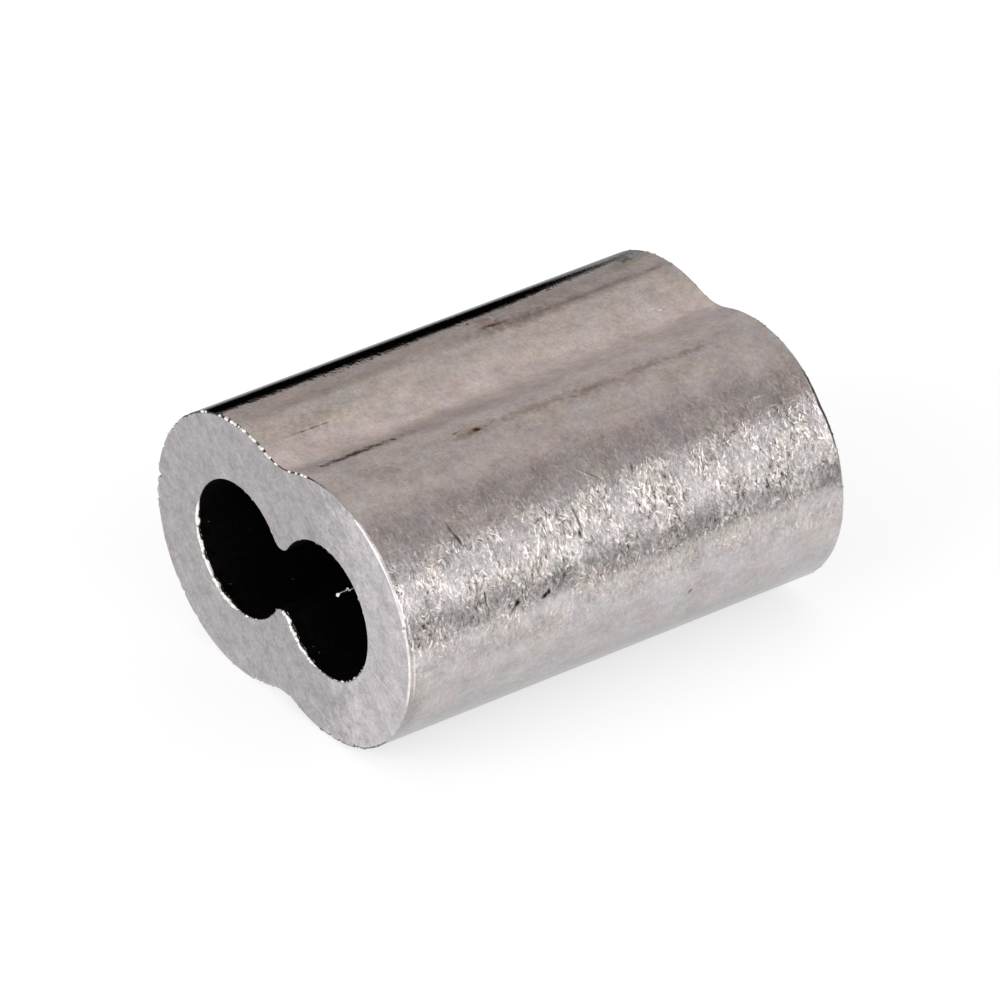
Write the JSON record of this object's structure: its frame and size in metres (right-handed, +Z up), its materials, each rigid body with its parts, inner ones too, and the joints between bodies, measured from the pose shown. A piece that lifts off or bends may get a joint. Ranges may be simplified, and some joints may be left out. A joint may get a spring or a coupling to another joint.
{
  "type": "wire rope ferrule",
  "caption": "Figure-of-eight aluminium sleeve with side-by-side rope holes that open into each other, pressed on to wire rope to hold an eye.",
  "frame": {"origin": "middle of the sleeve, halfway between the rope holes and halfway along them", "axes": "+X across the rope holes, +Y along them, +Z up when the sleeve lies on its flatter side"},
  "size_m": [0.013, 0.016, 0.0086],
  "materials": {
    "aluminium": "plain drawn sides with fine handling scratches, saw-cut ends, dull dark bores"
  },
  "bodies": {
    "root": {"ferrule_sleeve": "aluminium"}
  },
  "joints": []
}
